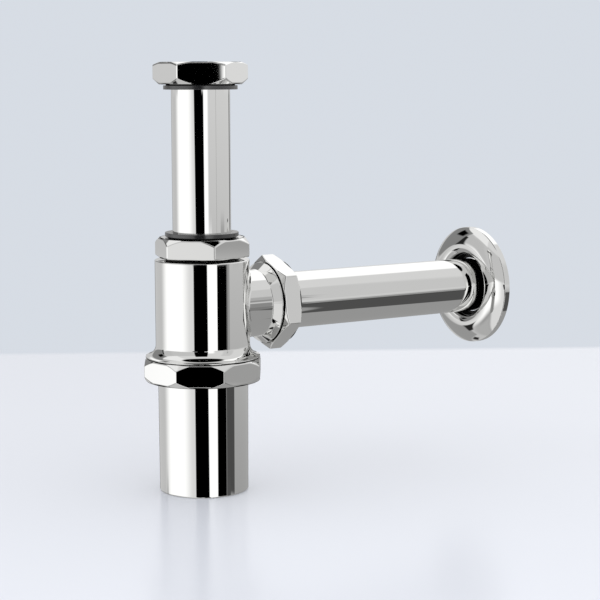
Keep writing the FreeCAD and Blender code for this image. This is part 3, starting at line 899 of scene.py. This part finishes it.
def nut_lines(sides, corner, starts):
    """Upright lines round a nut: their angle, the way they face, and their angle off the flat's middle."""
    half = math.pi / sides
    nudges = (-1 - SPLIT, -1 + SPLIT, 1 - SPLIT, 1 + SPLIT)
    splits = [start * nudge for start in starts for nudge in nudges]
    leans = np.sort(np.concatenate([np.linspace(-half, half, FLAT_STEPS + 1), splits]))
    lines = []
    for side in range(sides):
        middle = corner + (2 * side + 1) * half
        lines += [(middle + lean, middle, lean) for lean in leans]
        fan = [middle + 2 * half * step / FAN_STEPS for step in range(1, FAN_STEPS)]
        lines += [(middle + half, facing, half) for facing in fan]
    angle, facing, lean = lines[0]
    lines.append((angle + 2 * math.pi, facing + 2 * math.pi, lean))
    return np.array(lines).T


def nut_end(lines, apothem, face, bevel, up):
    """Rows from the flats over the bevel to the rim of one face."""
    angle, facing, lean = lines
    side = (apothem - NUT_ROUNDING) / np.cos(lean)
    rim = apothem - NUT_ROUNDING * math.tan(bevel / 2)
    bevelled = side > rim
    cut = NUT_ROUNDING / math.cos(bevel) + (side - apothem) * math.tan(bevel)
    below = at_angles(side, angle, face - up * np.where(bevelled, cut, NUT_ROUNDING))
    edge = at_angles(np.minimum(side, rim), angle, face - up * NUT_ROUNDING)
    outward = at_angles(1.0, facing, 0.0)
    heading = np.where(bevelled, angle, facing)
    sloped = at_angles(math.sin(bevel), heading, up * math.cos(bevel))
    upward = at_angles(0.0, angle, float(up))
    shares = np.linspace(0, 1, FAN_STEPS + 1)
    bases = [below] * len(shares) + [edge] * len(shares)
    normals = [between(outward, sloped, share) for share in shares]
    normals += [between(sloped, upward, share) for share in shares]
    points = [base + NUT_ROUNDING * normal for base, normal in zip(bases, normals)]
    return points, normals


def rounded_nut(node, sides, low_bevel, high_bevel, bore):
    """A nut with rounded edges that stands for one node of the solid model."""
    solid = solid_points(node)
    low, high = levels(node)
    farthest = solid[np.hypot(solid[:, 0], solid[:, 1]).argmax()]
    apothem = math.hypot(farthest[0], farthest[1]) * math.cos(math.pi / sides)
    corner = math.atan2(farthest[1], farthest[0])
    bevels = [math.radians(slope) for slope in (low_bevel, high_bevel)]
    lines = nut_lines(sides, corner, [bevel_start(apothem, bevel) for bevel in bevels])
    low_points, low_normals = nut_end(lines, apothem, low, bevels[0], -1)
    high_points, high_normals = nut_end(lines, apothem, high, bevels[1], 1)
    inside = walk_outline([(apothem, high, 0), *bore, (apothem, low, 0)])[1:-1]
    inner_points, inner_normals = spun(inside, lines[0])
    points = np.stack([*low_points[::-1], *high_points, *inner_points, low_points[-1]])
    normals = np.stack([*low_normals[::-1], *high_normals, *inner_normals, low_normals[-1]])
    if node in OUTLET_NODES:
        points, normals = laid_patch(points, normals)
    return stand_for(weld_patches([(points, normals)]), f"rounded_{node}", node)


# %% Gland nuts
THREAD_BORE = 21.0
INLET_THREAD_ROOT = 21.6
MOUTH_EDGE = 0.8
RELIEF_RADIUS = 21.75
LIP = 3.0
RING_LIP_BORE = 17.9
TUBE_LIP_BORE = 16.3
LIP_EDGE = 0.4
INLET_THREAD_LENGTH = 5.3
BODY_THREAD_LENGTH = 4.6
OUTLET_THREAD_LENGTH = 4.5


def gland_bore(mouth, lip_face, thread_radius, thread_length, lip_bore):
    """Corners of a nut's bore from its threaded mouth to the bore of its lip."""
    inward = math.copysign(1, lip_face - mouth)
    thread_end = mouth + inward * thread_length
    lip_back = lip_face - inward * LIP
    return [
        (thread_radius + MOUTH_EDGE, mouth, SMALL_EDGE),
        (thread_radius, mouth + inward * MOUTH_EDGE, 0),
        (thread_radius, thread_end, 0),
        (RELIEF_RADIUS, thread_end, 0),
        (RELIEF_RADIUS, lip_back, 0),
        (lip_bore, lip_back, 0),
        (lip_bore, lip_face, LIP_EDGE),
    ]


inlet_nut_low, inlet_nut_high = levels("inlet_nut")
body_nut_low, body_nut_high = levels("body_nut")
outlet_nut_start, outlet_nut_end = levels("outlet_nut")
inlet_bore = gland_bore(
    inlet_nut_high, inlet_nut_low, INLET_THREAD_ROOT, INLET_THREAD_LENGTH, RING_LIP_BORE
)
body_bore = gland_bore(body_nut_low, body_nut_high, THREAD_BORE, BODY_THREAD_LENGTH, RING_LIP_BORE)
outlet_bore = gland_bore(
    outlet_nut_start, outlet_nut_end, THREAD_BORE, OUTLET_THREAD_LENGTH, TUBE_LIP_BORE
)
rounded_nut("inlet_nut", sides=6, low_bevel=42, high_bevel=25, bore=inlet_bore)
rounded_nut("body_nut", sides=6, low_bevel=8, high_bevel=43, bore=body_bore[::-1])
rounded_nut("outlet_nut", sides=6, low_bevel=25, high_bevel=25, bore=outlet_bore[::-1])

# %% Cup nut
CUP_THREAD_BORE = 27.55
CUP_LIP_BORE = 25.2
CUP_LIP = 2.2

cup_nut_low, cup_nut_high = levels("cup_nut")
cup_nut_bore = [
    (CUP_THREAD_BORE, cup_nut_high, SMALL_EDGE),
    (CUP_THREAD_BORE, cup_nut_low + CUP_LIP, 0),
    (CUP_LIP_BORE, cup_nut_low + CUP_LIP, 0),
    (CUP_LIP_BORE, cup_nut_low, LIP_EDGE),
]
rounded_nut("cup_nut", sides=8, low_bevel=52, high_bevel=52, bore=cup_nut_bore)

# %% [markdown]
# ## The trap body
# The body is cast: a barrel with a flared skirt, a neck for a thread on top, and a branch at the side that
# runs into the barrel through a rounded hollow. A Boolean of two tubes leaves thin slanting faces along the
# joint, and chrome shows every one. Here the hollow is what a ball leaves when it rolls along the joint and
# touches both walls. Round the joint the barrel has a square window, filled by rings of faces that change
# from the window's straight edges to the curve where the ball touches.

# %% Walls of the barrel
BARREL_RADIUS = 26.0
BARREL_BORE = 23.8
ROOF = 2.6
SHOULDER_EDGE = 0.6
SKIRT_RADIUS = 31.6
SKIRT_BAND = 0.5
SKIRT_EDGE = 0.25
FLARE_RADIUS = 6.5
GLAND_ROOT = 20.2
SPIGOT_ROOT = 26.8
SEAT_MOUTH = 18.9
SEAT_BORE = 16.4
SEAT_DEPTH = 4.33
SKIRT_GAP = 0.3
SHOULDER_GAP = 1.25

spigot_low, neck_top = levels("trap_body")
skirt_low = cup_nut_high + SKIRT_GAP
shoulder = body_nut_low - SHOULDER_GAP
flare_axis = BARREL_RADIUS + FLARE_RADIUS
flare_top = skirt_low + SKIRT_BAND + math.sqrt(FLARE_RADIUS**2 - (flare_axis - SKIRT_RADIUS) ** 2)


def barrel_rows(heights):
    """Rows of the barrel's outside, flare and all, at the given levels."""
    up = np.clip((flare_top - heights) / FLARE_RADIUS, 0, 1)
    out = np.sqrt(1 - up**2)
    return np.stack([flare_axis - FLARE_RADIUS * out, heights, out, up], axis=-1)


def bore_rows(heights):
    """Rows of the barrel's bore at the given levels."""
    flat = np.zeros_like(heights)
    return np.stack([flat + BARREL_BORE, heights, flat - 1, flat], axis=-1)


print("flare from", round(skirt_low + SKIRT_BAND, 1), "to", round(flare_top, 1), "mm")

# %% Barrel with a window for the branch
ROUND_STEPS = 128
WINDOW_STEPS = 20
WINDOW_LOW = 76.0
WINDOW_HIGH = shoulder - 2.0
INNER_WINDOW_HIGH = shoulder - 6.5
LOW_FLARE_ROWS = 6
FLARE_STEPS = 10
WALL_ROWS = 19
FLARE_MARGIN = 0.05
BORE_EDGE = 0.3
SPIGOT_EDGE = 0.4
NECK_FOOT = 0.3
NECK_EDGE = 0.5
ROOF_FILLET = 0.8

full_turn = np.linspace(0, 2 * math.pi, ROUND_STEPS + 1)
window_half = full_turn[WINDOW_STEPS]
past_window = full_turn[WINDOW_STEPS : ROUND_STEPS - WINDOW_STEPS + 1]
outer_levels = np.concatenate(
    [
        np.linspace(WINDOW_LOW, flare_top, FLARE_STEPS + 1)[:-1],
        np.linspace(flare_top, WINDOW_HIGH, WALL_ROWS),
    ]
)
inner_levels = np.linspace(WINDOW_LOW, INNER_WINDOW_HIGH, len(outer_levels))
flare_rows = barrel_rows(np.linspace(skirt_low + SKIRT_BAND + FLARE_MARGIN, WINDOW_LOW, LOW_FLARE_ROWS))
skirt_rows = walk_outline(
    [
        (BARREL_BORE, WINDOW_LOW, 0),
        (BARREL_BORE, spigot_low, BORE_EDGE),
        (SPIGOT_ROOT, spigot_low, SPIGOT_EDGE),
        (SPIGOT_ROOT, skirt_low, SMALL_EDGE),
        (SKIRT_RADIUS, skirt_low, SKIRT_EDGE),
        (SKIRT_RADIUS, skirt_low + SKIRT_BAND, SKIRT_EDGE),
        (*flare_rows[0, :2], 0),
    ]
)
neck_rows = walk_outline(
    [
        (BARREL_RADIUS, WINDOW_HIGH, 0),
        (BARREL_RADIUS, shoulder, SHOULDER_EDGE),
        (GLAND_ROOT, shoulder, NECK_FOOT),
        (GLAND_ROOT, neck_top, NECK_EDGE),
        (SEAT_MOUTH, neck_top, SMALL_EDGE),
        (SEAT_BORE, neck_top - SEAT_DEPTH, SMALL_EDGE),
        (SEAT_BORE, shoulder - ROOF, BORE_EDGE),
        (BARREL_BORE, shoulder - ROOF, ROOF_FILLET),
        (BARREL_BORE, INNER_WINDOW_HIGH, 0),
    ]
)
barrel_patches = [
    spun(skirt_rows, full_turn),
    spun(flare_rows, full_turn),
    spun(neck_rows, full_turn),
    spun(barrel_rows(outer_levels), past_window),
    spun(bore_rows(inner_levels), past_window),
]
print("barrel from", round(spigot_low, 1), "to", round(neck_top, 1), "mm")

# %% Rolling ball along the joint
BRANCH_RADIUS = 18.8
SADDLE_RADIUS = 3.0
SADDLE_STEPS = 10
RING_COUNT = 7


def window_loop(heights):
    """Angle and level of the points round a window, against the clock as seen from outside."""
    across = np.linspace(window_half, -window_half, 2 * WINDOW_STEPS + 1)
    right = [(window_half, height) for height in heights]
    top = [(angle, heights[-1]) for angle in across[1:]]
    left = [(-window_half, height) for height in heights[-2::-1]]
    bottom = [(angle, heights[0]) for angle in across[-2::-1]]
    return np.array(right + top + left + bottom).T


def ring_patch(curve, loop, rows_at):
    """Rings of faces on a round wall, from a curve of points to a window's loop."""
    curve_turn = np.arctan2(curve[:, 1], curve[:, 0])
    shares = np.linspace(0, 1, RING_COUNT)[:, None]
    turn = curve_turn + (loop[0] - curve_turn) * shares
    height = curve[:, 2] + (loop[1] - curve[:, 2]) * shares
    radius, height, out, up = np.moveaxis(rows_at(height), -1, 0)
    return at_angles(radius, turn, height), at_angles(out, turn, up)


outer_loop = window_loop(outer_levels)
loop_turn, loop_level = outer_loop
window_reach = np.where(loop_level > OUTLET_AXIS, WINDOW_HIGH - OUTLET_AXIS, OUTLET_AXIS - WINDOW_LOW)
clock = np.unwrap(np.arctan2((loop_level - OUTLET_AXIS) / window_reach, loop_turn / window_half))
spoke = np.stack([np.zeros_like(clock), np.cos(clock), np.sin(clock)], axis=-1)
ball = (BRANCH_RADIUS + SADDLE_RADIUS) * spoke + np.array([0, 0, OUTLET_AXIS])
ball_up = np.clip((flare_top - ball[:, 2]) / (FLARE_RADIUS - SADDLE_RADIUS), 0, 1)
ball_out = np.sqrt(1 - ball_up**2)
ball_radius = flare_axis - (FLARE_RADIUS - SADDLE_RADIUS) * ball_out
ball[:, 0] = np.sqrt(ball_radius**2 - ball[:, 1] ** 2)
barrel_touch = np.stack(
    [ball[:, 0] / ball_radius * ball_out, ball[:, 1] / ball_radius * ball_out, ball_up], axis=-1
)
saddle_normals = np.stack(
    [between(barrel_touch, spoke, share) for share in np.linspace(0, 1, SADDLE_STEPS + 1)]
)
saddle_points = ball - SADDLE_RADIUS * saddle_normals
saddle_patches = [
    (saddle_points, saddle_normals),
    ring_patch(saddle_points[0], outer_loop, barrel_rows),
]
print("joint follows", len(clock), "points")

# %% Branch, its collar and the finished body
COLLAR_RADIUS = 22.6
COLLAR_GAP = 0.6
COLLAR_FACE = outlet_nut_start - COLLAR_GAP
COLLAR_RIM = 0.7
COLLAR_CONE = 3.9
COLLAR_FOOT_ROUNDING = 0.8
COLLAR_EDGE = 0.3
BRANCH_EDGE = 0.4
STRIP_END = 31.0
BORE_STRIP_END = 30.0
STRIP_ROWS = 4

branch_end = float(solid_points("trap_body")[:, 0].max())
branch_rows = walk_outline(
    [
        (BRANCH_RADIUS, STRIP_END, 0),
        (BRANCH_RADIUS, COLLAR_FACE - COLLAR_RIM - COLLAR_CONE, COLLAR_FOOT_ROUNDING),
        (COLLAR_RADIUS, COLLAR_FACE - COLLAR_RIM, COLLAR_EDGE),
        (COLLAR_RADIUS, COLLAR_FACE, COLLAR_EDGE),
        (GLAND_ROOT, COLLAR_FACE, SMALL_EDGE),
        (GLAND_ROOT, branch_end, BRANCH_EDGE),
        (SEAT_MOUTH, branch_end, SMALL_EDGE),
        (SEAT_BORE, branch_end - SEAT_DEPTH, SMALL_EDGE),
        (SEAT_BORE, BORE_STRIP_END, 0),
    ]
)


def strip_patch(near, far, direction):
    """Straight faces along the outlet between two curves."""
    shares = np.linspace(0, 1, STRIP_ROWS)[:, None, None]
    return near + (far - near) * shares, np.broadcast_to(direction, (STRIP_ROWS, *direction.shape))


branch_points, branch_normals = laid_patch(*spun(branch_rows, clock + math.pi / 2))
bore_curve = SEAT_BORE * spoke + np.array([0, 0, OUTLET_AXIS])
bore_curve[:, 0] = np.sqrt(BARREL_BORE**2 - bore_curve[:, 1] ** 2)
branch_patches = [
    (branch_points, branch_normals),
    strip_patch(saddle_points[-1], branch_points[0], spoke),
    strip_patch(bore_curve, branch_points[-1], -spoke),
    ring_patch(bore_curve, window_loop(inner_levels), bore_rows),
]
stand_for(weld_patches(barrel_patches + saddle_patches + branch_patches), "cast_trap_body", "trap_body")

# %% [markdown]
# ## Threads
# The nuts run on screw threads: a ridge that climbs by one pitch each turn. One tree makes them all. A
# Spiral carries a diamond outline for the ridge, and a ring of sheet below it stands for the root of the
# thread. The gaps below the nuts are black with shade. Here the threads are coloured near black, a painted
# shade that keeps that black from every side.

# %% The thread tree
RIDGE_STEPS = 64
ROOT_STEPS = 96
RIDGE_FOOT = 0.45


def make_thread_tree():
    """A tree that winds a ridge round a ring of sheet."""
    inputs = dict.fromkeys(
        ("Root Radius", "Ridge Height", "Pitch", "Turns", "Root Length", "Root Sheet"), "NodeSocketFloat"
    )
    tree, given = start_tree("thread", {**inputs, "Finish": "NodeSocketMaterial"}, "Thread")

    def product(first, second):
        return math_node(tree, "MULTIPLY", first, second)

    climb = product(given["Pitch"], given["Turns"])
    path_sizes = {
        "Resolution": RIDGE_STEPS,
        "Rotations": given["Turns"],
        "Start Radius": given["Root Radius"],
        "End Radius": given["Root Radius"],
        "Height": climb,
        "Reverse": True,
    }
    path = add_node(tree, "GeometryNodeCurveSpiral", path_sizes)
    ridge_sizes = {
        "Width": product(given["Ridge Height"], 2.0),
        "Bottom Height": product(given["Pitch"], RIDGE_FOOT),
        "Top Height": product(given["Pitch"], RIDGE_FOOT),
    }
    ridge = add_node(tree, "GeometryNodeCurvePrimitiveQuadrilateral", ridge_sizes, mode="KITE")
    hub_sizes = {"Resolution": ROOT_STEPS, "Radius": given["Root Radius"]}
    hub = add_node(tree, "GeometryNodeCurvePrimitiveCircle", hub_sizes, mode="RADIUS")
    root_sizes = {"Width": given["Root Sheet"], "Height": given["Root Length"]}
    root = add_node(tree, "GeometryNodeCurvePrimitiveQuadrilateral", root_sizes, mode="RECTANGLE")
    joined = add_node(tree, "GeometryNodeJoinGeometry")
    for line, outline, shift in ((path, ridge, product(climb, -0.5)), (hub, root, 0.0)):
        swept = sweep_outline(tree, line.outputs["Curve"], outline.outputs["Curve"], caps=True)
        lift = add_node(tree, "ShaderNodeCombineXYZ", {"Z": shift}).outputs["Vector"]
        moved = add_node(tree, "GeometryNodeTransform", {"Geometry": swept, "Translation": lift})
        feed(tree, joined.inputs["Geometry"], moved.outputs["Geometry"])
    end_tree(tree, joined.outputs["Geometry"], given["Finish"], "Thread")
    return tree


thread_tree = make_thread_tree()
print("thread inputs:", [item.name for item in thread_tree.interface.items_tree if item.in_out == "INPUT"])

# %% Cut the threads
GLAND_PITCH = 2.309
SPIGOT_PITCH = 2.0
RIDGE_HEIGHT = 0.62
ROOT_SHEET = 0.1
RUN_OUT = 0.4
INLET_RIDGE_DEPTH = 5.2

# Near black as painted shade: the threads sit in the shaded gaps below the nuts.
thread_painted_shade = make_moulded(
    "painted_shade_thread",
    dark=(0.004, 0.004, 0.004),
    light=(0.012, 0.011, 0.01),
    roughness=0.5,
    shine=0.2,
    grain=900.0,
    depth=0.00002,
)


def cut_thread(name, node, root, pitch, start, end, along_outlet=False):
    """A thread between two levels, on the piece that carries it."""
    settings = {
        "Root Radius": root * MM,
        "Ridge Height": RIDGE_HEIGHT * MM,
        "Pitch": pitch * MM,
        "Turns": (end - start) / pitch - 1,
        "Root Length": (end - start) * MM,
        "Root Sheet": ROOT_SHEET * MM,
        "Finish": thread_painted_shade,
    }
    mesh = run_tree(thread_tree, bpy.data.meshes.new(name), name, settings)
    mesh.transform(Matrix.Translation((0, 0, (start + end) / 2 * MM)))
    if along_outlet:
        mesh.transform(LAY_DOWN)
    face_outwards(mesh)
    add_piece(mesh, name, node, thread_painted_shade)


neck_end = neck_top - RUN_OUT
branch_thread_end = branch_end - RUN_OUT
spigot_start = spigot_low + RUN_OUT
inlet_ridge_low = inlet_nut_high - INLET_RIDGE_DEPTH
inlet_ridge_high = inlet_nut_high - MOUTH_EDGE
cut_thread("neck_thread", "trap_body", GLAND_ROOT, GLAND_PITCH, shoulder, neck_end)
cut_thread("branch_thread", "trap_body", GLAND_ROOT, GLAND_PITCH, COLLAR_FACE, branch_thread_end, True)
cut_thread("spigot_thread", "trap_body", SPIGOT_ROOT, SPIGOT_PITCH, spigot_start, skirt_low)
cut_thread(
    "inlet_nut_thread", "inlet_nut", INLET_THREAD_ROOT, GLAND_PITCH, inlet_ridge_low, inlet_ridge_high
)
